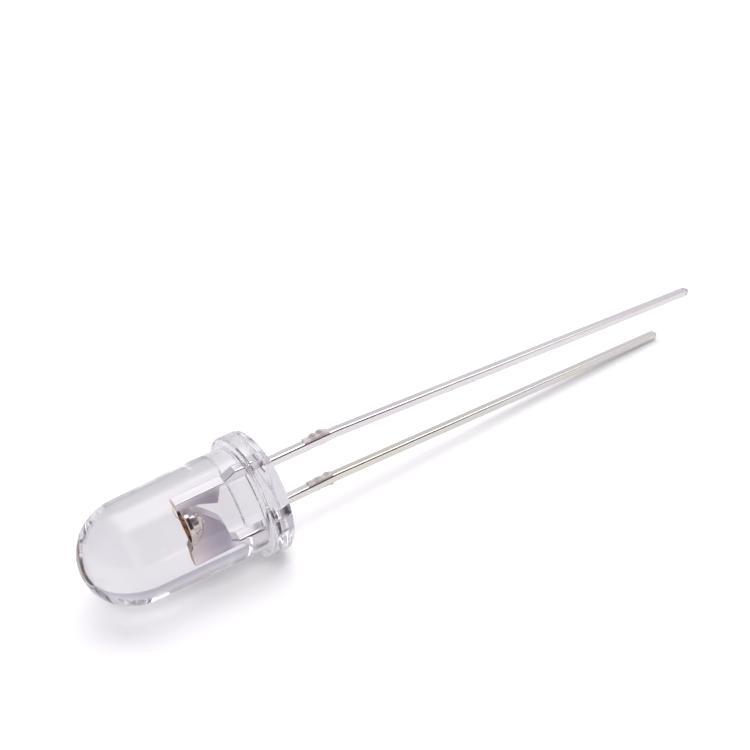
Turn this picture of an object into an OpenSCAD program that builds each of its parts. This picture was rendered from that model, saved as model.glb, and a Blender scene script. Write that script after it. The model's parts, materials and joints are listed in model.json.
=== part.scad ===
// Through-hole LED, 5 mm round, water-clear lens, lying on the flat of its flange.
//
// Everything is drawn upright in the LED's own axes and laid down at the end:
//   z = 0 is the back face of the flange, +z runs along the optical axis to the dome's tip,
//   x runs from the long lead (-x) to the short lead (+x), and the flat faces +x.
// Laid down, the flat and the tip of the short lead touch the ground at Z = 0.

/* [Lens] */
// Diameter of the straight barrel next to the flange
barrel_d = 5.0; // [4.8:0.05:5.2]
// Length of that straight barrel, which a panel hole or a clip grips
barrel_len = 1.5; // [0.8:0.1:2.5]
// Radius of the dome
dome_r = 2.35; // [2.2:0.05:2.4]
// Height from the back of the flange to the tip of the dome
lens_h = 8.7; // [8.2:0.1:9.5]
// Diameter of the flange
flange_d = 5.9; // [5.6:0.1:6.2]
// Thickness of the flange
flange_t = 1.0; // [0.8:0.1:1.2]
// Edge break round both rims of the flange
flange_edge = 0.06; // [0.02:0.02:0.12]
// Distance from the optical axis to the flat that marks the cathode side
flat_dist = 2.55; // [2.52:0.01:2.7]

/* [Leads] */
// Distance between the centres of the two leads at the flange
pitch = 2.54; // [2.4:0.02:2.7]
// Width of a lead, across the gap between the two
lead_w = 0.44; // [0.38:0.02:0.5]
// Thickness of the sheet that both leads are stamped from
sheet_t = 0.44; // [0.38:0.02:0.5]
// Length of the short lead, the cathode, below the flange
cathode_len = 27.0; // [20:0.1:32]
// Length of the long lead, the anode, below the flange
anode_len = 29.5; // [22:0.1:36]
// How much more the long lead leans than the short one, in degrees
toe_in = 0.85; // [0:0.05:2]

/* [Dam bar remnants] */
// Distance from the flange to the near end of each sheared stub
stub_at = 2.5; // [1.6:0.1:5]
// Length of each stub along its lead
stub_len = 1.36; // [0.8:0.02:2]
// Height of a stub's sheared edge above the side of its lead
stub_proud = 0.14; // [0.06:0.02:0.2]
// Distance from a stub's far end to the bend, past which its lead leans towards the flat
stub_to_bend = 0.34; // [0.24:0.02:2]

/* [Lead frame inside the lens] */
// Height of the anvil's top, beside the reflector cup
anvil_top = 4.2; // [3.9:0.05:4.6]
// Height of the post's top, where the bond wire lands
post_top = 4.3; // [3.9:0.05:4.7]
// Half of the width over both frame pieces above their shoulders
frame_half_w = 1.2; // [1.1:0.05:1.35]
// Height at which the outer edges of the leads begin to step in
shoulder_z = 1.25; // [0.8:0.05:1.6]
// Height at which the anvil and the post spread inwards from their leads
spread_z = 1.95; // [1.75:0.05:2.2]
// Width of the post's top
post_w = 0.34; // [0.26:0.02:0.4]

/* [Reflector cup] */
// Drop from the anvil's top to the cup's rim
rim_drop = 0.12; // [0.04:0.02:0.2]
// Outer radius of the coined bowl
bowl_r = 0.66; // [0.6:0.01:0.68]
// Depth of the bowl's centre below the rim
bowl_drop = 0.16; // [0.1:0.02:0.26]
// Diameter of the cup's mouth
cup_mouth_d = 1.0; // [0.9:0.02:1.04]
// Diameter of the cup's floor
cup_floor_d = 0.56; // [0.52:0.02:0.64]
// Depth of the cup
cup_depth = 0.42; // [0.36:0.02:0.48]

/* [Die and wire] */
// Side of the square die
die_w = 0.3; // [0.2:0.02:0.34]
// Thickness of the die
die_t = 0.2; // [0.12:0.02:0.24]
// Diameter of the dab of conductive adhesive under the die
dab_d = 0.46; // [0.4:0.02:0.5]
// Thickness of that dab
dab_t = 0.03; // [0.02:0.01:0.05]
// Diameter of the gold bond wire
wire_d = 0.03; // [0.026:0.002:0.04]
// Rise of the wire's loop above the line between its two bonds
loop_h = 0.2; // [0.16:0.02:0.5]
// Diameter of the ball bond and of the stitch bond
bond_d = 0.09; // [0.07:0.01:0.12]
// Thickness of each bond
bond_t = 0.03; // [0.02:0.01:0.05]

/* [Hidden] */
$fn = 96;

// Lens
flange_r = flange_d / 2;
dome_z = lens_h - dome_r;
barrel_top = flange_t + barrel_len;
clear = 1;

// Leads: the short one leans until the lower corner of its tip is level with the flat
lead_x = pitch / 2;
in_x = lead_x - lead_w / 2;
out_x = lead_x + lead_w / 2;
bend_at = stub_at + stub_len + stub_to_bend;
cathode_run = cathode_len - bend_at;
anode_run = anode_len - bend_at;
cathode_lean = asin((flat_dist - lead_x) / norm([cathode_run, lead_w / 2]))
    - atan2(lead_w / 2, cathode_run);
anode_lean = cathode_lean + toe_in;

// Sheared edges of the stubs, as shares of stub_proud at even steps along the stub
cathode_upper_edge = [0.9, 0.6, 1.0, 0.8, 1.1, 0.7];
cathode_lower_edge = [0.3, 0.2, 0.4, 0.3, 0.5, 0.7];
anode_upper_edge = [0.9, 1.0, 1.5, 1.7, 1.4, 0.6];
anode_lower_edge = [0.4, 0.3, 0.2, 0.4, 0.3, 0.3];

// Lead frame: the slanted edges that face each other across the gap
step_z = spread_z - 0.05;
anvil_in_x = -(cup_mouth_d / 2);
anvil_brow = [anvil_in_x, anvil_top - 0.72];
anvil_heel = [[0.26, spread_z + 0.58], [0.46, spread_z + 0.44], [0.7, spread_z + 0.38]];
anvil_neck = [in_x - 0.1, spread_z + 0.33];
post_in_x = -(frame_half_w - post_w);
post_toe = [-0.42, spread_z + 0.47];
post_waist = [post_in_x + 0.13, spread_z + 1.3];
post_heel_z = spread_z + 0.18;

// Reflector cup, die and wire
rim_z = anvil_top - rim_drop;
bowl_z = rim_z - bowl_drop;
cup_floor_z = rim_z - cup_depth;
die_z = cup_floor_z + dab_t;
die_top = die_z + die_t;
wire_start = [0, die_top + bond_t / 2];
wire_end = [-(frame_half_w - post_w / 2), post_top + bond_t / 2];
chord = norm(wire_end - wire_start);
wire_r = (chord * chord / 4 + loop_h * loop_h) / (2 * loop_h);
loop_up = [wire_start[1] - wire_end[1], wire_end[0] - wire_start[0]] / -chord;
wire_c = (wire_start + wire_end) / 2 - loop_up * (wire_r - loop_h);
wire_from = atan2(wire_start[1] - wire_c[1], wire_start[0] - wire_c[0]);
wire_to = atan2(wire_end[1] - wire_c[1], wire_end[0] - wire_c[0]);

// Laid down: the middle of the whole length comes over the origin
tip_z = bend_at + anode_run * cos(anode_lean) + lead_w / 2 * sin(anode_lean);
middle_z = (lens_h - tip_z) / 2;

module laid_down() {
    translate([middle_z, 0, flat_dist]) rotate([180, 90, 0]) children();
}

// A flat piece of the stamped sheet, drawn in x and z
module stamped(outline) {
    rotate([90, 0, 0]) linear_extrude(sheet_t, center = true) polygon(outline);
}

// Profile of the flange, the straight barrel and the drafted barrel
module barrel_profile() {
    polygon([
        [0, 0],
        [flange_r - flange_edge, 0],
        [flange_r, flange_edge],
        [flange_r, flange_t - flange_edge],
        [flange_r - flange_edge, flange_t],
        [barrel_d / 2, flange_t],
        [barrel_d / 2, barrel_top],
        [dome_r, dome_z],
        [0, dome_z]
    ]);
}

module dome() {
    translate([0, 0, dome_z]) rotate_extrude() intersection() {
        circle(dome_r);
        square(dome_r + clear);
    }
}

module moulding() {
    difference() {
        union() {
            rotate_extrude() barrel_profile();
            dome();
        }
        translate([flat_dist, -flange_r, -clear])
            cube([flange_r, flange_d, flange_t + clear]);
    }
}

// The stub that is left where the dam bar was sheared off, between two ragged edges
module stub(upper_edge, lower_edge) {
    last = len(upper_edge) - 1;
    step = stub_len / last;
    stamped(concat(
        [for (i = [0 : last]) [-lead_w / 2 - stub_proud * upper_edge[i], -stub_at - i * step]],
        [for (i = [last : -1 : 0]) [lead_w / 2 + stub_proud * lower_edge[i], -stub_at - i * step]]
    ));
}

// What a lead has outside the lens: its stub, and the leaning stretch from the bend to its tip
module shank(x, run, lean, upper_edge, lower_edge) {
    translate([x, 0, 0]) {
        stub(upper_edge, lower_edge);
        translate([0, 0, -bend_at]) {
            rotate([90, 0, 0]) cylinder(h = sheet_t, d = lead_w, center = true);
            rotate([0, -lean, 0]) translate([-lead_w / 2, -sheet_t / 2, -run])
                cube([lead_w, sheet_t, run]);
        }
    }
}

module anvil() {
    difference() {
        union() {
            stamped([
                [in_x, -bend_at],
                [out_x, -bend_at],
                [out_x, shoulder_z],
                [frame_half_w, step_z],
                [frame_half_w, anvil_top],
                [bowl_r + 0.08, anvil_top],
                [bowl_r, rim_z],
                [anvil_in_x, rim_z],
                anvil_brow,
                each anvil_heel,
                anvil_neck,
                [in_x, spread_z]
            ]);
            translate([0, 0, bowl_z]) rotate_extrude() intersection() {
                circle(bowl_r);
                translate([0, -bowl_r - clear]) square([bowl_r + clear, bowl_r + clear + bowl_drop]);
            }
        }
        translate([0, 0, cup_floor_z])
            cylinder(h = cup_depth, d1 = cup_floor_d, d2 = cup_mouth_d);
    }
}

module post() {
    stamped([
        [-in_x, -bend_at],
        [-out_x, -bend_at],
        [-out_x, shoulder_z],
        [-frame_half_w, step_z],
        [-frame_half_w, post_top],
        [post_in_x, post_top],
        post_waist,
        post_toe,
        [-in_x, post_heel_z]
    ]);
}

module upright_dab() {
    translate([0, 0, cup_floor_z]) cylinder(h = dab_t, d = dab_d);
}

module upright_die() {
    translate([-die_w / 2, -die_w / 2, die_z]) cube([die_w, die_w, die_t]);
}

module upright_wire() {
    translate([0, 0, die_top]) cylinder(h = bond_t, d = bond_d);
    translate([wire_end[0], 0, post_top]) cylinder(h = bond_t, d = bond_d);
    translate([wire_c[0], 0, wire_c[1]]) rotate([90, 0, 0]) rotate([0, 0, wire_from])
        rotate_extrude(angle = wire_to - wire_from) translate([wire_r, 0]) circle(d = wire_d, $fn = 24);
}

module lens_body() {
    color([0.90, 0.90, 0.95, 0.4]) laid_down() difference() {
        moulding();
        anvil();
        post();
        upright_dab();
        upright_die();
        upright_wire();
    }
}

module cathode_lead() {
    color([0.78, 0.77, 0.76]) laid_down() {
        anvil();
        shank(lead_x, cathode_run, cathode_lean, cathode_upper_edge, cathode_lower_edge);
    }
}

module anode_lead() {
    color([0.80, 0.79, 0.77]) laid_down() {
        post();
        shank(-lead_x, anode_run, anode_lean, anode_upper_edge, anode_lower_edge);
    }
}

module led_die() {
    color([0.55, 0.16, 0.10]) laid_down() upright_die();
}

module die_attach() {
    color([0.62, 0.61, 0.60]) laid_down() upright_dab();
}

module bond_wire() {
    color([0.90, 0.70, 0.28]) laid_down() upright_wire();
}

lens_body();
cathode_lead();
anode_lead();
led_die();
die_attach();
bond_wire();
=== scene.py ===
"""Looks of a clear 5 mm through-hole LED, lying on the flat of its flange and the tip of its short lead."""

import json
import math

import bmesh
import bpy
from mathutils import Matrix, Vector, noise


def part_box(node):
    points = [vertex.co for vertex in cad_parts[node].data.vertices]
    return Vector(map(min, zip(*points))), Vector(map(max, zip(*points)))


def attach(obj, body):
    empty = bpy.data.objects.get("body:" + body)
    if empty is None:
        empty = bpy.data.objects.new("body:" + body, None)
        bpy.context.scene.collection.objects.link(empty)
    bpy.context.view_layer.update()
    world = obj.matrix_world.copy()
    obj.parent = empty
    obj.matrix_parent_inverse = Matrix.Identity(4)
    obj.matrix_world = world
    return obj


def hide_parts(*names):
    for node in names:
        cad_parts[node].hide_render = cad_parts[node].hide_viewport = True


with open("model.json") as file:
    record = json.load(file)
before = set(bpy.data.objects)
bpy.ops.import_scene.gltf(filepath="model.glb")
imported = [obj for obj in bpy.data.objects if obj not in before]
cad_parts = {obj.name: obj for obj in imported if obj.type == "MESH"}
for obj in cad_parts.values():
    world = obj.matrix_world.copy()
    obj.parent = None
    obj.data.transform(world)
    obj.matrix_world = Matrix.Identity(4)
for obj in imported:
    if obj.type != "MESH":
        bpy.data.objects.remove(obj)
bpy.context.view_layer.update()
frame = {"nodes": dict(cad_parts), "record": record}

MM = 0.001

# Sizes that the frame gives
MOUNTS = {m["name"]: m for m in frame["record"]["mounts"]}
LENS_LOW, LENS_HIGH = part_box("lens_body")
BASE_X = LENS_HIGH.x
AXIS_Z = MOUNTS["lens_barrel"]["pos_m"][2]
BARREL_R = MOUNTS["lens_barrel"]["dims"]["r_mm"] * MM
FLANGE_T = BASE_X - MOUNTS["flange_seat"]["pos_m"][0]
BARREL_TOP = FLANGE_T + MOUNTS["lens_barrel"]["dims"]["length_mm"] * MM
LENS_H = LENS_HIGH.x - LENS_LOW.x
FLANGE_R = min(LENS_HIGH.y, LENS_HIGH.z - AXIS_Z)
FLAT = AXIS_Z - LENS_LOW.z
LEAD_LOW, LEAD_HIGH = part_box("anode_lead")
SHEET_T = LEAD_HIGH.y - LEAD_LOW.y

# Sizes of the moulding that the frame doesn't give
DOME_R = 2.35 * MM
RIM_R = 0.12 * MM
ROOT_R = 0.1 * MM
CORNER_R = 0.1 * MM
DISH = 0.1 * MM
CREEP_H = 0.16 * MM
CREEP_R = 0.2 * MM
FLAT_FACING = 0.2
SEGMENTS = 256

# The leads: how far each is from the optical axis, the sheared stubs of the dam bar, and the bend past them
LEAD_X = 1.27 * MM
SWEPT_FROM = 2.2 * MM
STUB_AT = 2.5 * MM
STUB_LEN = 1.36 * MM
BEND_AT = STUB_AT + STUB_LEN + 0.34 * MM
BEND_REACH = 0.3 * MM
EDGE_R = 0.1 * MM
RIPPLE_TURN = math.radians(3.5)
RIPPLE_LENGTH = 3.2 * MM
GRIT_ALONG = 0.24 * MM
GRIT_ACROSS = 0.3 * MM
GRIT_SHARE = 0.5
TIP_SHRINK = 0.94
TINY = 1e-6

# The lead frame inside the lens
INNER_EDGE_R = 0.05 * MM
BALL_R = 0.66 * MM
BALL_H = 3.92 * MM
RIM_H = 4.08 * MM
BAND_R = 0.62 * MM
BAND_H = 3.88 * MM
NOSE_H = 3.26 * MM
BOWL_TILT = math.radians(25)
CUP_MOUTH_R = 0.5 * MM
CUP_FLOOR_R = 0.28 * MM
CUP_DEPTH = 0.42 * MM
BOWL_NOTCH = [
    (3.74 * MM, -0.5 * MM),
    (3.6 * MM, -0.25 * MM),
    (3.6 * MM, 0.25 * MM),
    (RIM_H - 0.01 * MM, 0.55 * MM),
]

# The camera, from the middle of the flange's back face
CAMERA_FROM_BASE = Vector((-16.355, -33.129, 29.853)) * MM
CAMERA_AZIMUTH = -34.84
CAMERA_ELEVATION = 33.22
CAMERA_ROLL = -2.94
CAMERA_LENS = 49.31


def row_point(height, across, angle):
    """A point by its height above the flange's back, distance from the axis and angle from the flat."""
    return Vector((BASE_X - height, -across * math.sin(angle), AXIS_Z - across * math.cos(angle)))


# Lens


def soft_min(a, b, blend):
    """The smaller of a and b, rounded over where they are nearly equal."""
    h = max(blend - abs(a - b), 0) / blend
    return min(a, b) - h * h * blend / 4


def outline(radius, flat, angle):
    """Radius at this angle of a circle cut by the flat, which only reaches angles that face it."""
    if math.cos(angle) <= FLAT_FACING:
        return radius
    return soft_min(radius, flat / math.cos(angle), CORNER_R)


def base_dish(across, angle):
    """How far the back face stands behind its rim: a shallow dish, with epoxy drawn up round both leads."""
    x, y = across * math.cos(angle), across * math.sin(angle)
    share = min(across / (FLANGE_R - RIM_R), 1)
    depth = DISH * (1 - share**4)
    half = SHEET_T / 2
    for lead_x in (-LEAD_X, LEAD_X):
        gap = math.hypot(max(abs(x - lead_x) - half, 0), max(abs(y) - half, 0))
        depth -= (CREEP_H + DISH) * math.exp(-gap / CREEP_R)
    return depth


def arc(centre_height, centre_radius, radius, start, end, steps):
    """Points (height, radius) on an arc, its angles in degrees from straight outwards towards the dome."""
    found = []
    for i in range(steps + 1):
        a = math.radians(start + (end - start) * i / steps)
        found.append((centre_height + radius * math.sin(a), centre_radius + radius * math.cos(a)))
    return found


def lens_mesh():
    """The outside of the moulding as rings round the optical axis, from the back face to the dome's tip."""
    bm = bmesh.new()
    turns = [2 * math.pi * i / SEGMENTS for i in range(SEGMENTS)]
    rings = []

    def ring(place):
        rings.append([bm.verts.new(row_point(*place(a), a)) for a in turns])

    back_rings = 56
    for i in range(1, back_rings + 1):
        share = i / back_rings

        def back(a):
            across = share * outline(FLANGE_R - RIM_R, FLAT - RIM_R, a)
            return base_dish(across, a), across

        ring(back)
    for height, inset in arc(RIM_R, -RIM_R, RIM_R, -80, 0, 8):
        ring(lambda a: (height, outline(FLANGE_R + inset, FLAT + inset, a)))
    root = BARREL_R + ROOT_R
    for height, inset in arc(FLANGE_T - RIM_R, -RIM_R, RIM_R, 0, 90, 9):

        def front(a):
            return height, max(outline(FLANGE_R + inset, FLAT + inset, a), min(root, outline(root, FLAT, a)))

        ring(front)
    for height, radius in arc(FLANGE_T + ROOT_R, root, ROOT_R, 270, 180, 8):
        ring(lambda a: (height, min(radius, outline(radius, FLAT, a))))
    dome_z = LENS_H - DOME_R
    reach = math.hypot(dome_z - BARREL_TOP, BARREL_R)
    touch = math.degrees(math.acos(DOME_R / reach) - math.atan2(dome_z - BARREL_TOP, BARREL_R))
    dome = arc(dome_z, 0, DOME_R, touch, 90, 72)
    draft = (BARREL_R - dome[0][1]) / (dome[0][0] - BARREL_TOP)
    ease = 0.3 * MM
    for height in (FLANGE_T + 2 * ROOT_R, BARREL_TOP - 2 * ease, BARREL_TOP - ease):
        ring(lambda a: (height, BARREL_R))
    ring(lambda a: (BARREL_TOP, BARREL_R - draft * ease / 8))
    for height in (BARREL_TOP + ease, BARREL_TOP + 2 * ease, dome[0][0] - ease):
        ring(lambda a: (height, BARREL_R - draft * (height - BARREL_TOP)))
    for height, radius in dome[:-1]:
        ring(lambda a: (height, radius))

    for low, high in zip(rings, rings[1:]):
        for i in range(SEGMENTS):
            j = (i + 1) % SEGMENTS
            bm.faces.new((low[i], low[j], high[j], high[i]))
    back_middle = bm.verts.new(row_point(base_dish(0, 0), 0, 0))
    tip = bm.verts.new(row_point(LENS_H, 0, 0))
    for i in range(SEGMENTS):
        j = (i + 1) % SEGMENTS
        bm.faces.new((back_middle, rings[0][j], rings[0][i]))
        bm.faces.new((tip, rings[-1][i], rings[-1][j]))
    bmesh.ops.recalc_face_normals(bm, faces=bm.faces)
    smooth_faces(bm)
    return finished_mesh("lens", bm)


def smooth_faces(bm):
    for face in bm.faces:
        face.smooth = True


def finished_mesh(name, bm):
    """bm as an object, linked to the scene."""
    mesh = bpy.data.meshes.new(name)
    bm.to_mesh(mesh)
    bm.free()
    piece = bpy.data.objects.new(name, mesh)
    bpy.context.scene.collection.objects.link(piece)
    return piece


# Lead frame


def cad_copy(node):
    """The mesh of a CAD node with its flat faces joined up."""
    bm = bmesh.new()
    bm.from_mesh(frame["nodes"][node].data)
    bmesh.ops.remove_doubles(bm, verts=bm.verts, dist=1e-7)
    bmesh.ops.dissolve_limit(bm, angle_limit=0.01, verts=bm.verts, edges=bm.edges)
    return bm


def chained(edges):
    """The vertices along one open or closed chain of edges, in order."""
    links = {}
    for edge in edges:
        for vert in edge.verts:
            links.setdefault(vert, []).append(edge)
    ends = [v for v, joined in links.items() if len(joined) == 1]
    chain, edge = [ends[0] if ends else edges[0].verts[0]], None
    while True:
        onward = [e for e in links[chain[-1]] if e != edge]
        if not onward or (len(chain) > 1 and onward[0].other_vert(chain[-1]) == chain[0]):
            return chain
        edge = onward[0]
        chain.append(edge.other_vert(chain[-1]))


def sheet_outline(bm):
    """Outline of the sheet above its cut, as (height above the flange's back, distance from the axis)."""
    front = -SHEET_T / 2
    everything = bm.verts[:] + bm.edges[:] + bm.faces[:]
    cut = (BASE_X + SWEPT_FROM, 0, 0)
    bmesh.ops.bisect_plane(bm, geom=everything, plane_co=cut, plane_no=(1, 0, 0), clear_outer=True)
    faces = {f for f in bm.faces if all(abs(v.co.y - front) < 2e-7 for v in f.verts)}
    border = [e for e in bm.edges if sum(f in faces for f in e.link_faces) == 1 and not e.is_boundary]
    points = [(BASE_X - v.co.x, AXIS_Z - v.co.z) for v in chained(border)]
    turning = sum(p[0] * q[1] - p[1] * q[0] for p, q in zip(points, points[1:] + points[:1]))
    return points if turning > 0 else points[::-1]


def without_bowl(points):
    """The outline with the arc of the CAD's ball replaced by a notch that ends inside the bowl's wall."""
    arc_r = math.sqrt(BALL_R**2 - (SHEET_T / 2) ** 2) + 0.005 * MM
    kept = [math.hypot(h - BALL_H, w) > arc_r for h, w in points]
    first = next(i for i, keep in enumerate(kept) if not keep)
    last = len(kept) - next(i for i, keep in enumerate(reversed(kept)) if not keep)
    return points[:first] + BOWL_NOTCH + points[last:]


def edge_radius(height):
    """How far the stamped edges are rounded: less on the thin parts inside the lens."""
    return INNER_EDGE_R + (EDGE_R - INNER_EDGE_R) * (1 - smooth(height, 1.7 * MM, 2.0 * MM))


def filleted(points):
    """An open outline with rounded corners. A point near each end of a straight keeps its shading flat."""
    support = 0.006 * MM
    spare = 0.015 * MM
    share = 0.45
    found = [Vector(points[0])]
    for before, here, after in zip(points, points[1:], points[2:]):
        q = Vector(here)
        back, on = Vector(before) - q, Vector(after) - q
        turn = math.pi - back.angle(on)
        if turn < math.radians(4):
            found.append(q)
            continue
        longest = min(back.length * share, on.length * share)
        reach = min((edge_radius(here[0]) + spare) * math.tan(turn / 2), longest)
        start = q + back.normalized() * reach
        middle = q + (back.normalized() + on.normalized()).normalized() * (reach / math.sin(turn / 2))
        side = math.copysign(1, on.x * back.y - on.y * back.x)
        if back.length * share > reach + support:
            found.append(start + back.normalized() * support)
        steps = max(2, round(turn / math.radians(14)))
        for i in range(steps + 1):
            found.append(middle + Matrix.Rotation(side * turn * i / steps, 2) @ (start - middle))
        if on.length * share > reach + support:
            found.append(q + on.normalized() * (reach + support))
    return found + [Vector(points[-1])]


def inset(points, depths):
    """An open outline moved inwards, each point by its own depth."""
    found = []
    for i, here in enumerate(points):
        q = Vector(here)
        sides = []
        if i > 0:
            sides.append((q - Vector(points[i - 1])).normalized())
        if i < len(points) - 1:
            sides.append((Vector(points[i + 1]) - q).normalized())
        normals = [Vector((-d.y, d.x)) for d in sides]
        mitre = sum(normals, Vector((0, 0)))
        found.append(q + mitre * (depths[i] * len(normals) / mitre.length_squared))
    return found


def section(radius):
    """One edge of the sheet's section, front to back, as (inset, y), with a thin flat band at each end."""
    half = SHEET_T / 2
    thin = 0.005 * MM
    steps = 5
    arcs = []
    for i in range(steps + 1):
        a = math.radians(90 * i / steps)
        arcs.append((radius * (1 - math.sin(a)), -half + radius * (1 - math.cos(a))))
    flat = [(0, y) for y in across_edge(radius)]
    back = [(depth, -y) for depth, y in reversed(arcs)]
    return [(radius + thin, -half)] + arcs + flat + back + [(radius + thin, half)]


def across_edge(radius):
    """Places across the flat part of a stamped edge, close together next to its rounded sides."""
    reach = SHEET_T / 2 - radius
    return [reach * share for share in (-0.97, -0.8, -0.6, -0.4, -0.2, 0, 0.2, 0.4, 0.6, 0.8, 0.97)]


def stamped_sheet(bm, points):
    """The upper part of a lead, a sheet with rounded edges. Gives the ring of vertices where it is cut."""
    profiles = [section(edge_radius(p.x)) for p in points]
    rows = []
    for k in range(len(profiles[0])):
        moved = inset(points, [profile[k][0] for profile in profiles])
        row = []
        for profile, p in zip(profiles, moved):
            row.append(bm.verts.new((BASE_X - p.x, profile[k][1], AXIS_Z - p.y)))
        rows.append(row)
    for low, high in zip(rows, rows[1:]):
        for i in range(len(points) - 1):
            bm.faces.new((low[i], low[i + 1], high[i + 1], high[i]))
    bm.faces.new(rows[0])
    bm.faces.new(rows[-1])
    return [row[0] for row in rows] + [row[-1] for row in reversed(rows)]


def revolved(bm, profile, segments):
    """Rings round the optical axis through these points (height, radius), closed at both ends."""
    rings = []
    for height, radius in profile:
        turns = [2 * math.pi * i / segments for i in range(segments)]
        rings.append([bm.verts.new(row_point(height, radius, a)) for a in turns])
    for low, high in zip(rings, rings[1:]):
        for i in range(segments):
            j = (i + 1) % segments
            bm.faces.new((low[i], low[j], high[j], high[i]))
    for ring in (rings[0], rings[-1]):
        bm.faces.new(ring)


def nose_radius():
    """Radius of the bowl's round bottom, which its sloping wall touches."""
    across = BAND_R - math.tan(BOWL_TILT) * (BAND_H - NOSE_H)
    return across / (math.cos(BOWL_TILT) - math.tan(BOWL_TILT) * (1 - math.sin(BOWL_TILT)))


def bowl_face(height, across):
    """How far the bowl's outside stands out from the middle of the sheet."""
    nose = nose_radius()
    if height < NOSE_H + nose * (1 - math.sin(BOWL_TILT)):
        radius = math.sqrt(max(nose**2 - (NOSE_H + nose - height) ** 2, 0))
    else:
        radius = BAND_R - math.tan(BOWL_TILT) * max(BAND_H - height, 0)
    return math.sqrt(max(radius**2 - across**2, 0))


def coined_bowl(bm):
    """The bowl at the anvil's top, with the cup in it and a fillet where it swells out of the sheet."""
    nose = nose_radius()
    tilt = math.degrees(BOWL_TILT)
    crease = 0.02 * MM
    edge = 0.05 * MM
    lip_r = 0.02 * MM
    corner = 0.05 * MM
    wall = arc(NOSE_H + nose, 0, nose, -89, -tilt, 28)
    band = arc(BAND_H + crease * math.tan(BOWL_TILT / 2), BAND_R - crease, crease, -tilt, 0, 3)
    rim = arc(RIM_H - edge, BAND_R - edge, edge, 0, 90, 6)
    lip = arc(RIM_H - lip_r, CUP_MOUTH_R + lip_r, lip_r, 90, 160, 4)
    floor_h = RIM_H - CUP_DEPTH
    floor = arc(floor_h + corner, CUP_FLOOR_R - 0.8 * corner, corner, -30, -90, 4)
    revolved(bm, wall + band + rim + lip + floor + [(floor_h, 0.01 * MM)], 128)
    for front in (-1, 1):
        fillet(bm, front)


def fillet(bm, front):
    """A concave strip between the bowl and one rolled face of the sheet, narrower towards its two ends."""
    steps, fade, bands, halvings = 64, 6, 5, 24
    full_width = 0.07 * MM
    least_width = 0.001 * MM
    lift = 0.0005 * MM
    half = SHEET_T / 2
    middle = Vector((NOSE_H + nose_radius(), 0))
    rows = []
    for i in range(steps + 1):
        a = math.radians(-80 + 3 * i)
        along = Vector((-math.cos(a), math.sin(a)))
        near, far = 0, 1 * MM
        for _ in range(halvings):
            reach = (near + far) / 2
            if bowl_face(*(middle + along * reach)) > half:
                near = reach
            else:
                far = reach
        width = full_width * smooth(i, 0, fade) * smooth(steps - i, 0, fade) + least_width
        foot = bowl_face(*(middle + along * (reach - width)))
        row = []
        for k in range(bands + 1):
            t = k / bands
            at = middle + along * (reach + width * (2 * t - 1))
            y = foot * (1 - t) ** 2 + half * 2 * t * (1 - t) + half * t * t
            row.append(bm.verts.new((BASE_X - at.x, front * (y + lift), AXIS_Z - at.y)))
        rows.append(row)
    for low, high in zip(rows, rows[1:]):
        for i in range(bands):
            bm.faces.new((low[i], low[i + 1], high[i + 1], high[i]))


def stub_outline(bm, lead_z, side):
    """The sheared edge of the upper (side 1) or lower (side -1) stub, as (distance below flange, rise)."""
    found = {}
    for v in bm.verts:
        below = v.co.x - BASE_X
        rise = side * (v.co.z - lead_z) - SHEET_T / 2
        if STUB_AT - TINY < below < STUB_AT + STUB_LEN + TINY and rise > TINY:
            found[round(below, 6)] = rise
    return sorted(found.items())


def looked_up(table, at):
    """The value at this place in a table of (place, value), and 0 outside it."""
    for (low, first), (high, last) in zip(table, table[1:]):
        if low <= at <= high:
            return first + (last - first) * (at - low) / (high - low)
    return 0.0


def smooth(value, low, high):
    """From 0 at low to 1 at high, with a soft start and end."""
    t = min(max((value - low) / (high - low), 0), 1)
    return t * t * (3 - 2 * t)


def spine(tip, lead_z, s):
    """The middle of a lead and its direction, at s metres below the flange."""
    bend = Vector((BASE_X + BEND_AT, 0, lead_z))
    straight = Vector((1, 0, 0))
    lean = (tip - bend).normalized()
    t = min(max((s - BEND_AT + BEND_REACH) / (2 * BEND_REACH), 0), 1)
    before = bend + straight * min(s - BEND_AT, -BEND_REACH)
    after = bend + lean * max(s - BEND_AT, BEND_REACH)
    if t in (0, 1):
        return (after, lean) if t else (before, straight)
    place = before * (1 - t) ** 2 + bend * 2 * t * (1 - t) + after * t * t
    return place, straight.lerp(lean, t).normalized()


def stations(length):
    """Distances below the flange at which the swept stretch of a lead has a ring."""
    stub_steps, bend_steps, run_steps = 44, 8, 90
    step_off = 0.02 * MM
    above_stub = [STUB_AT - 0.045 * MM, STUB_AT - step_off]
    stub = [STUB_AT + STUB_LEN * i / stub_steps for i in range(stub_steps + 1)]
    bend = [BEND_AT + BEND_REACH * (i / (bend_steps / 2) - 1) for i in range(bend_steps + 1)]
    past = bend[-1]
    run = [past + (length - past) * i / run_steps for i in range(1, run_steps + 1)]
    return above_stub + stub + [stub[-1] + step_off] + bend + run


def lead_mesh(name, node, lead_z, seed, with_bowl):
    """A lead: a stamped sheet to just short of the stubs, then a sweep with torn stubs and a faint ripple."""
    cad = cad_copy(node)
    upper = stub_outline(cad, lead_z, 1)
    lower = stub_outline(cad, lead_z, -1)
    high = max(v.co.x for v in cad.verts)
    ends = [v.co.copy() for v in cad.verts if v.co.x > high - 0.1 * MM]
    tip = sum(ends, Vector()) / len(ends)
    points = sheet_outline(cad)
    cad.free()
    if with_bowl:
        points = without_bowl(points)
    bm = bmesh.new()
    ring = stamped_sheet(bm, filleted(points))
    places = [(v.co.z - lead_z, v.co.y) for v in ring]
    sweep(bm, ring, places, tip, lead_z, upper, lower, seed)
    bmesh.ops.recalc_face_normals(bm, faces=bm.faces)
    if with_bowl:
        coined_bowl(bm)
    return finished_mesh(name, bm)


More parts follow.
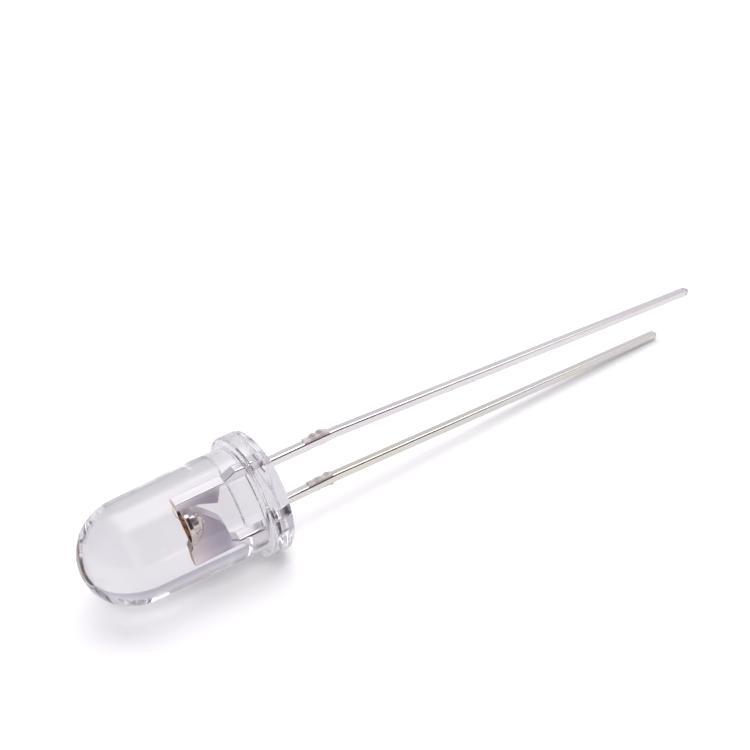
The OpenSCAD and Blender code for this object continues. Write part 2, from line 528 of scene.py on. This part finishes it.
def sweep(bm, ring, places, tip, lead_z, upper, lower, seed):
    """The rest of a lead from just above its stubs, as one ring of vertices after another to the cut tip."""
    smooth_faces(bm)
    length = BEND_AT + (tip - Vector((BASE_X + BEND_AT, 0, lead_z))).length
    half = SHEET_T / 2
    last = ring
    for s in stations(length):
        middle, along = spine(tip, lead_z, s)
        up = Vector((-along.z, 0, along.x))
        free = smooth(s, BEND_AT + 1 * MM, BEND_AT + 4 * MM) * smooth(length - s, 0, 3 * MM)
        turn = RIPPLE_TURN * free * noise.noise(Vector((s / RIPPLE_LENGTH, seed, 0)))
        shrink = TIP_SHRINK if s == length else 1
        fresh = []
        for u, v in places:
            back = smooth(v, -half + 0.04 * MM, half - 0.12 * MM)
            grit = noise.noise(Vector((s / GRIT_ALONG, v / GRIT_ACROSS, seed)))
            if u > half - TINY:
                u += looked_up(upper, s) * (0.3 + 0.7 * back) * (1 + GRIT_SHARE * grit)
            elif u < TINY - half:
                u -= looked_up(lower, s) * (1 + GRIT_SHARE * grit)
            turned = Matrix.Rotation(turn, 2) @ Vector((v, u)) * shrink
            fresh.append(bm.verts.new(middle + up * turned.y + Vector((0, turned.x, 0))))
        torn = looked_up(upper, s) > 0
        for i in range(len(ring)):
            j = (i + 1) % len(ring)
            face = bm.faces.new((last[i], last[j], fresh[j], fresh[i]))
            outer = abs(places[i][0]) > half - TINY and abs(places[j][0]) > half - TINY
            face.smooth = not (torn and outer)
        last = fresh
    bm.faces.new(last)


def rounded_copy(name, node, edge_r, sharp=25):
    """A copy of a CAD node with its flat faces joined up and its sharp edges rounded."""
    bm = cad_copy(node)
    smooth_faces(bm)
    piece = finished_mesh(name, bm)
    bevel = piece.modifiers.new("edges", "BEVEL")
    bevel.width = edge_r
    bevel.segments = 2
    bevel.limit_method = "ANGLE"
    bevel.angle_limit = math.radians(sharp)
    bevel.harden_normals = True
    return piece


# Materials

# Colours of the leads: their plating, painted shade on their flat faces, cut and torn faces, and the bowl
# inside and out
WARM_PLATE = (0.88, 0.85, 0.75, 1), (0.87, 0.84, 0.84, 1)
NEUTRAL_PLATE = (0.88, 0.86, 0.85, 1), (0.88, 0.83, 0.85, 1)
CAST_IN_PLATE = (0.75, 0.73, 0.76, 1)
# Painted shade on the sheet's flat faces, standing in for the shaded floor they reflect: dark low down,
# lighter higher up
PAINTED_SHADE_DARK = (0.47, 0.42, 0.49, 1)
PAINTED_SHADE_LIGHT = (0.78, 0.69, 0.7, 1)
SHEARED_EDGE = (0.88, 0.85, 0.87, 1)
CUP_SHADE = (0.07, 0.05, 0.05, 1)
CUP_AMBER = (1.0, 0.5, 0.2, 1)
BROWN_END = (0.55, 0.37, 0.18, 1)
DARK_TEAR = (0.56, 0.51, 0.5, 1)
LIGHT_TEAR = (0.78, 0.73, 0.71, 1)
BOWL_BACK = (0.82, 0.73, 0.68, 1)

# Heights from BASE_X towards the dome, between which each change on the leads comes in
CAST_IN = 0.0, 0.3 * MM
SHEARED = 1.0 * MM, 1.3 * MM
# The painted shade on the sheet's flat faces comes in over this span, and grows lighter over the next
PAINTED_SHADE_FROM = 2.0 * MM, 2.5 * MM
PAINTED_SHADE_FADES = 2.7 * MM, 4.3 * MM
BULGE_HEIGHT = 3.2 * MM, 3.3 * MM
END_HEIGHT = 3.9 * MM, 4.0 * MM

# Distances that do the same: from the axis, from the sheet's middle, and from the middle of the amber band
BROWN_ACROSS = 0.56 * MM, 0.62 * MM
BULGE_PROUD = 0.22 * MM, 0.25 * MM
AMBER_BAND = 0.34 * MM, 0.2 * MM


class Shader:
    """The node tree of a new material or world, with a short way to add and join nodes."""

    def __init__(self, name, kind="materials"):
        self.owner = getattr(bpy.data, kind).new(name)
        self.owner.use_nodes = True
        self.tree = self.owner.node_tree
        self.tree.nodes.clear()
        self.out = "ShaderNodeOutputWorld" if kind == "worlds" else "ShaderNodeOutputMaterial"

    def add(self, kind, inputs=None, **settings):
        made = self.tree.nodes.new(kind)
        for key, value in settings.items():
            setattr(made, key, value)
        for key, value in (inputs or {}).items():
            self.feed(made.inputs[key], value)
        return made

    def feed(self, socket, value):
        if isinstance(value, bpy.types.NodeSocket):
            self.tree.links.new(value, socket)
        else:
            socket.default_value = value

    def place(self):
        return self.add("ShaderNodeTexCoord").outputs["Object"]

    def noise(self, scale, stretch=(1, 1, 1), detail=3.0):
        """Noise of this many cells to the metre."""
        scales = [scale * share for share in stretch]
        mapped = self.add("ShaderNodeMapping", {"Vector": self.place(), "Scale": scales}).outputs[0]
        return self.add("ShaderNodeTexNoise", {"Vector": mapped, "Scale": 1.0, "Detail": detail}).outputs[0]

    def ranged(self, value, from_low, from_high, low, high, curve="LINEAR"):
        made = self.add(
            "ShaderNodeMapRange",
            {"Value": value, "From Min": from_low, "From Max": from_high, "To Min": low, "To Max": high},
            interpolation_type=curve,
        )
        return made.outputs[0]

    def math(self, operation, a, b=0.0):
        return self.add("ShaderNodeMath", {0: a, 1: b}, operation=operation).outputs[0]

    def mixed(self, share, a, b):
        made = self.add("ShaderNodeMix", data_type="RGBA")
        self.feed(made.inputs["Factor"], share)
        for socket, value in zip((s for s in made.inputs if s.type == "RGBA"), (a, b)):
            self.feed(socket, value)
        return next(s for s in made.outputs if s.type == "RGBA")

    def blend(self, share, a, b):
        """A number between a and b."""
        return self.add("ShaderNodeMix", {0: share, 2: a, 3: b}).outputs[0]

    def bump(self, height, depth):
        return self.add("ShaderNodeBump", {"Height": height, "Distance": depth, "Strength": 1.0}).outputs[0]

    def finish(self, surface):
        self.add(self.out, {"Surface": surface})
        return self.owner


def clear_epoxy():
    s = Shader("clear_epoxy")
    wave = s.noise(900, detail=1.0)
    body = s.add(
        "ShaderNodeBsdfPrincipled",
        {
            "Base Color": (0.87, 0.85, 0.89, 1),
            "Roughness": 0.0,
            "IOR": 1.53,
            "Transmission Weight": 1.0,
            "Normal": s.bump(wave, 0.004 * MM),
        },
    )
    return s.finish(body.outputs[0])


def sheet_colour(s, height, ny, tints):
    """The plated sheet: patchy outside the lens, clean in it, with painted shade on its faces higher up."""
    patches = s.noise(420, (0.6, 1, 1), 2.0)
    outside = s.mixed(s.ranged(patches, 0.4, 0.62, 0, 1), *tints)
    cast_in = s.ranged(height, *CAST_IN, 0, 1)
    clean = s.mixed(cast_in, outside, CAST_IN_PLATE)
    face = s.ranged(s.math("ABSOLUTE", ny), 0.6, 0.8, 0, 1)
    # Painted shade on the flat faces, standing in for the shaded floor that they reflect
    painted_shade_begun = s.ranged(height, *PAINTED_SHADE_FROM, 0, 1, "SMOOTHSTEP")
    fresh = s.ranged(height, *PAINTED_SHADE_FADES, 0, 1, "SMOOTHSTEP")
    painted_shade = s.mixed(fresh, PAINTED_SHADE_DARK, PAINTED_SHADE_LIGHT)
    return s.mixed(s.math("MULTIPLY", face, painted_shade_begun), clean, painted_shade)


def cup_shares(s, height, across, y, off_z):
    """Where the inside of the reflector cup is, and where streaks of amber light cross it."""
    floor_h = RIM_H - CUP_DEPTH
    cup_r = s.ranged(height, floor_h, RIM_H, CUP_FLOOR_R, CUP_MOUTH_R)
    above_floor = s.ranged(height, floor_h - 0.03 * MM, floor_h - 0.01 * MM, 0, 1)
    within = s.ranged(s.math("SUBTRACT", across, cup_r), 0.04 * MM, 0.02 * MM, 0, 1)
    in_cup = s.math("MULTIPLY", within, above_floor)
    streaks = s.noise(5000, (0.5, 1, 1), 3.0)
    along = s.math("ABSOLUTE", s.math("ADD", s.math("MULTIPLY", y, 0.73), s.math("MULTIPLY", off_z, 0.68)))
    middle = s.ranged(along, *AMBER_BAND, 0, 1)
    amber = s.math("MULTIPLY", middle, s.ranged(streaks, 0.4, 0.58, 0, 1))
    return in_cup, amber


def torn_share(s, x, rise):
    """Where the torn edges of the stubs are."""
    stub_start = BASE_X + STUB_AT
    stub_end = stub_start + STUB_LEN
    first = s.ranged(x, stub_start - 0.04 * MM, stub_start, 0, 1)
    last = s.ranged(x, stub_end, stub_end + 0.04 * MM, 1, 0)
    outer = s.ranged(rise, SHEET_T / 2 - 0.03 * MM, SHEET_T / 2 + 0.01 * MM, 0, 1)
    return s.math("MULTIPLY", s.math("MULTIPLY", first, last), outer)


def bulge_share(s, height, y, inside_or_end):
    """Where the bowl stands out of the sheet, apart from its inside and the cut ends."""
    high = s.ranged(height, *BULGE_HEIGHT, 0, 1)
    proud = s.ranged(s.math("ABSOLUTE", y), *BULGE_PROUD, 0, 1)
    return s.math("MULTIPLY", s.math("MULTIPLY", high, proud), s.math("SUBTRACT", 1.0, inside_or_end))


def plated_steel(name, lead_z, tints, gloss):
    """Bright drawn plating, torn grey on the stubs, with painted shade on its faces higher up, brown at its
    cut ends.
    """
    s = Shader(name)
    x, y, z = s.add("ShaderNodeSeparateXYZ", {0: s.place()}).outputs
    normal = s.add("ShaderNodeTexCoord").outputs["Normal"]
    nx, ny = s.add("ShaderNodeSeparateXYZ", {0: normal}).outputs[:2]
    height = s.math("SUBTRACT", BASE_X, x)
    rise = s.math("ABSOLUTE", s.math("SUBTRACT", z, lead_z))
    off_z = s.math("SUBTRACT", z, AXIS_Z)
    across = s.math("SQRT", s.math("ADD", s.math("MULTIPLY", y, y), s.math("MULTIPLY", off_z, off_z)))
    drawn = s.noise(9000, (0.06, 1, 1), 4.0)
    grit = s.noise(26000, detail=5.0)

    cut_face = s.ranged(s.math("ABSOLUTE", ny), 0.5, 0.3, 0, 1)
    sheared = s.math("MULTIPLY", cut_face, s.ranged(height, *SHEARED, 0, 1))
    in_cup, amber = cup_shares(s, height, across, y, off_z)
    facing_dome = s.ranged(nx, -0.6, -0.9, 0, 1)
    cut_end = s.math("MULTIPLY", facing_dome, s.ranged(height, *END_HEIGHT, 0, 1))
    brown = s.math("MULTIPLY", cut_end, s.ranged(across, *BROWN_ACROSS, 0, 1))
    torn = torn_share(s, x, rise)
    bulge = bulge_share(s, height, y, s.math("MAXIMUM", in_cup, cut_end))

    colour = s.mixed(sheared, sheet_colour(s, height, ny, tints), SHEARED_EDGE)
    cup = s.mixed(amber, CUP_SHADE, CUP_AMBER)
    colour = s.mixed(in_cup, colour, cup)
    colour = s.mixed(brown, colour, BROWN_END)
    colour = s.mixed(torn, colour, s.mixed(grit, DARK_TEAR, LIGHT_TEAR))
    colour = s.mixed(bulge, colour, BOWL_BACK)

    matt = s.math("MULTIPLY", sheared, s.math("SUBTRACT", 1.0, bulge))
    rough = s.blend(matt, s.ranged(drawn, 0.3, 0.7, *gloss), 0.42)
    rough = s.blend(torn, rough, 0.6)
    relief = s.blend(torn, s.math("MULTIPLY", drawn, 0.25), s.math("MULTIPLY", grit, 0.6))
    dull = s.math("MAXIMUM", torn, s.math("MULTIPLY", in_cup, amber))
    steel = s.add(
        "ShaderNodeBsdfPrincipled",
        {
            "Base Color": colour,
            "Metallic": s.ranged(dull, 0, 1, 1, 0.35),
            "Roughness": rough,
            "Normal": s.bump(relief, 0.006 * MM),
        },
    )
    return s.finish(steel.outputs[0])


def die_stone():
    s = Shader("die_stone")
    grain = s.noise(20000, detail=4.0)
    colour = s.mixed(s.ranged(grain, 0.35, 0.65, 0, 1), (0.24, 0.05, 0.03, 1), (0.4, 0.1, 0.05, 1))
    stone = s.add(
        "ShaderNodeBsdfPrincipled",
        {"Base Color": colour, "Roughness": 0.25, "Normal": s.bump(grain, 0.002 * MM)},
    )
    return s.finish(stone.outputs[0])


def silver_paste():
    s = Shader("silver_paste")
    grain = s.noise(40000, detail=4.0)
    colour = s.mixed(grain, (0.38, 0.36, 0.34, 1), (0.62, 0.6, 0.57, 1))
    paste = s.add(
        "ShaderNodeBsdfPrincipled",
        {"Base Color": colour, "Metallic": 0.4, "Roughness": 0.55, "Normal": s.bump(grain, 0.006 * MM)},
    )
    return s.finish(paste.outputs[0])


def drawn_gold():
    s = Shader("drawn_gold")
    grain = s.noise(30000, detail=3.0)
    colour = s.mixed(grain, (0.93, 0.68, 0.32, 1), (0.97, 0.76, 0.42, 1))
    gold = s.add(
        "ShaderNodeBsdfPrincipled",
        {"Base Color": colour, "Metallic": 1.0, "Roughness": 0.2, "Normal": s.bump(grain, 0.0005 * MM)},
    )
    return s.finish(gold.outputs[0])


# The object


def add_piece(piece, node, material):
    piece.data.materials.clear()
    piece.data.materials.append(material)
    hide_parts(node)
    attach(piece, "root")


def build_led():
    add_piece(lens_mesh(), "lens_body", clear_epoxy())
    short_lead = lead_mesh("short_lead", "cathode_lead", AXIS_Z - LEAD_X, 3, True)
    long_lead = lead_mesh("long_lead", "anode_lead", AXIS_Z + LEAD_X, 8, False)
    short_plating = plated_steel("plating_short", AXIS_Z - LEAD_X, WARM_PLATE, (0.04, 0.12))
    long_plating = plated_steel("plating_long", AXIS_Z + LEAD_X, NEUTRAL_PLATE, (0.1, 0.2))
    add_piece(short_lead, "cathode_lead", short_plating)
    add_piece(long_lead, "anode_lead", long_plating)
    die = rounded_copy("die", "led_die", 0.012 * MM)
    paste = rounded_copy("die_paste", "die_attach", 0.01 * MM)
    wire = rounded_copy("gold_wire", "bond_wire", 0.004 * MM, 60)
    add_piece(die, "led_die", die_stone())
    add_piece(paste, "die_attach", silver_paste())
    add_piece(wire, "bond_wire", drawn_gold())


# Studio

# The floor's paper, how it glows or darkens for each kind of ray, and its shade close to the object
PAPER = (0.84, 0.84, 0.85, 1), (0.86, 0.86, 0.87, 1)
BLACK = (0, 0, 0, 1)
WHITE = (1, 1, 1, 1)
CAMERA_LIFT = 0.36
GLOSSY_LIFT = 0.08
LENS_LIFT = 0.5
LENS_SHADE = 0.45
CONTACT_SHADE = 0.36
CONTACT_REACH = 0.7 * MM
CONTACT_OPENNESS = 0.35, 0.95

# The room that the object reflects
WALL_LOW = (0.93, 0.91, 0.96, 1)
WALL_HIGH = (0.46, 0.46, 0.49, 1)
SKIRTING = (0.56, 0.55, 0.61, 1)
NEAR_PINK = (0.95, 0.78, 0.84, 1)
NEAR_DARK = (0.04, 0.035, 0.05, 1)
END_PINK = (0.86, 0.74, 0.79, 1)
END_DARK = (0.05, 0.05, 0.09, 1)
SOFTBOX_LIGHT = (3.2, 3.2, 3.2, 1)


def floor_paper():
    """White paper. Where the camera sees it close to the object, and through the lens, it is darker."""
    s = Shader("floor_paper")
    fibre = s.noise(1500, detail=3.0)
    path = s.add("ShaderNodeLightPath")
    camera_ray = path.outputs["Is Camera Ray"]
    through_lens = path.outputs["Is Transmission Ray"]
    openness = s.add("ShaderNodeAmbientOcclusion", {"Distance": CONTACT_REACH}, samples=4).outputs["AO"]
    contact = s.math("MULTIPLY", camera_ray, s.ranged(openness, *CONTACT_OPENNESS, CONTACT_SHADE, 0))
    shade = s.math("MAXIMUM", contact, s.math("MULTIPLY", through_lens, LENS_SHADE))
    plain = s.mixed(fibre, *PAPER)
    paper = s.add("ShaderNodeBsdfDiffuse", {"Color": s.mixed(shade, plain, BLACK)}).outputs[0]
    seen = s.math("MULTIPLY", s.math("SUBTRACT", camera_ray, contact), CAMERA_LIFT)
    mirrored = s.math("MULTIPLY", path.outputs["Is Glossy Ray"], GLOSSY_LIFT)
    refracted = s.math("MULTIPLY", through_lens, LENS_LIFT)
    lift = s.math("MAXIMUM", seen, s.math("MAXIMUM", mirrored, refracted))
    glow = s.add("ShaderNodeEmission", {"Color": WHITE, "Strength": lift}).outputs[0]
    return s.finish(s.add("ShaderNodeAddShader", {0: paper, 1: glow}).outputs[0])


def make_floor():
    bm = bmesh.new()
    bmesh.ops.create_grid(bm, x_segments=1, y_segments=1, size=1.5)
    floor = finished_mesh("floor", bm)
    floor.data.materials.append(floor_paper())


def room_colour(s, x, y, z):
    """Grey-lavender walls, pinkish at the near left, dark at the near right and at the dome's end."""
    wall = s.mixed(s.ranged(z, 0, 0.9, 0, 1), WALL_LOW, WALL_HIGH)
    wall = s.mixed(s.ranged(z, 0.3, 0.05, 0, 1, "SMOOTHSTEP"), wall, SKIRTING)
    near = s.ranged(y, -0.1, -0.34, 0, 1, "SMOOTHSTEP")
    near_tint = s.mixed(s.ranged(x, -0.15, 0.05, 0, 1), NEAR_PINK, NEAR_DARK)
    room = s.mixed(s.math("MULTIPLY", near, s.ranged(x, 0.68, 0.54, 0, 1)), wall, near_tint)
    end = s.math("MULTIPLY", s.ranged(x, -0.36, -0.46, 0, 1, "SMOOTHSTEP"), s.ranged(y, 0.75, 0.65, 0, 1))
    end_tint = s.mixed(s.ranged(z, 0.08, 0.2, 0, 1), END_PINK, END_DARK)
    return s.mixed(end, room, end_tint)


def softbox_share(s, x, y, z):
    """Where the soft overhead light is. Its far edge slants."""
    left = s.ranged(x, -0.36, -0.04, 0, 1, "SMOOTHSTEP")
    right = s.ranged(x, 0.8, 0.55, 0, 1, "SMOOTHSTEP")
    slant = s.math("ADD", s.ranged(x, 0.3, -0.3, 0, 0.16), s.ranged(x, 0.36, 0.72, 0, -0.36))
    near = s.ranged(y, -0.3, 0.0, 0, 1, "SMOOTHSTEP")
    far = s.ranged(s.math("SUBTRACT", y, slant), 0.72, 0.5, 0, 1, "SMOOTHSTEP")
    above = s.ranged(z, 0.0, 0.1, 0, 1)
    flat_share = s.math("MULTIPLY", s.math("MULTIPLY", left, right), s.math("MULTIPLY", near, far))
    return s.math("MULTIPLY", flat_share, above)


def make_world():
    """The studio that lights the object. The camera itself sees white."""
    s = Shader("studio", "worlds")
    direction = s.add("ShaderNodeTexCoord").outputs["Generated"]
    x, y, z = s.add("ShaderNodeSeparateXYZ", {0: direction}).outputs
    lit = s.mixed(softbox_share(s, x, y, z), room_colour(s, x, y, z), SOFTBOX_LIGHT)
    camera_ray = s.add("ShaderNodeLightPath").outputs["Is Camera Ray"]
    seen = s.mixed(camera_ray, lit, WHITE)
    bpy.context.scene.world = s.finish(s.add("ShaderNodeBackground", {"Color": seen}).outputs[0])


def make_camera():
    camera = bpy.data.cameras.new("camera")
    camera.lens = CAMERA_LENS
    camera.sensor_width = 36
    camera.clip_start = 0.002
    camera.clip_end = 10
    holder = bpy.data.objects.new("camera", camera)
    turn = Matrix.Rotation(math.radians(CAMERA_AZIMUTH), 4, "Z")
    tip = Matrix.Rotation(math.radians(90 - CAMERA_ELEVATION), 4, "X")
    roll = Matrix.Rotation(math.radians(CAMERA_ROLL), 4, "Z")
    place = Vector((BASE_X, 0, AXIS_Z)) + CAMERA_FROM_BASE
    holder.matrix_world = Matrix.Translation(place) @ turn @ tip @ roll
    bpy.context.scene.collection.objects.link(holder)
    bpy.context.scene.camera = holder


def set_view():
    scene = bpy.context.scene
    scene.view_settings.view_transform = "Standard"
    scene.cycles.max_bounces = 64
    scene.cycles.transmission_bounces = 32
    scene.cycles.glossy_bounces = 64


make_camera()
build_led()
make_floor()
make_world()
set_view()
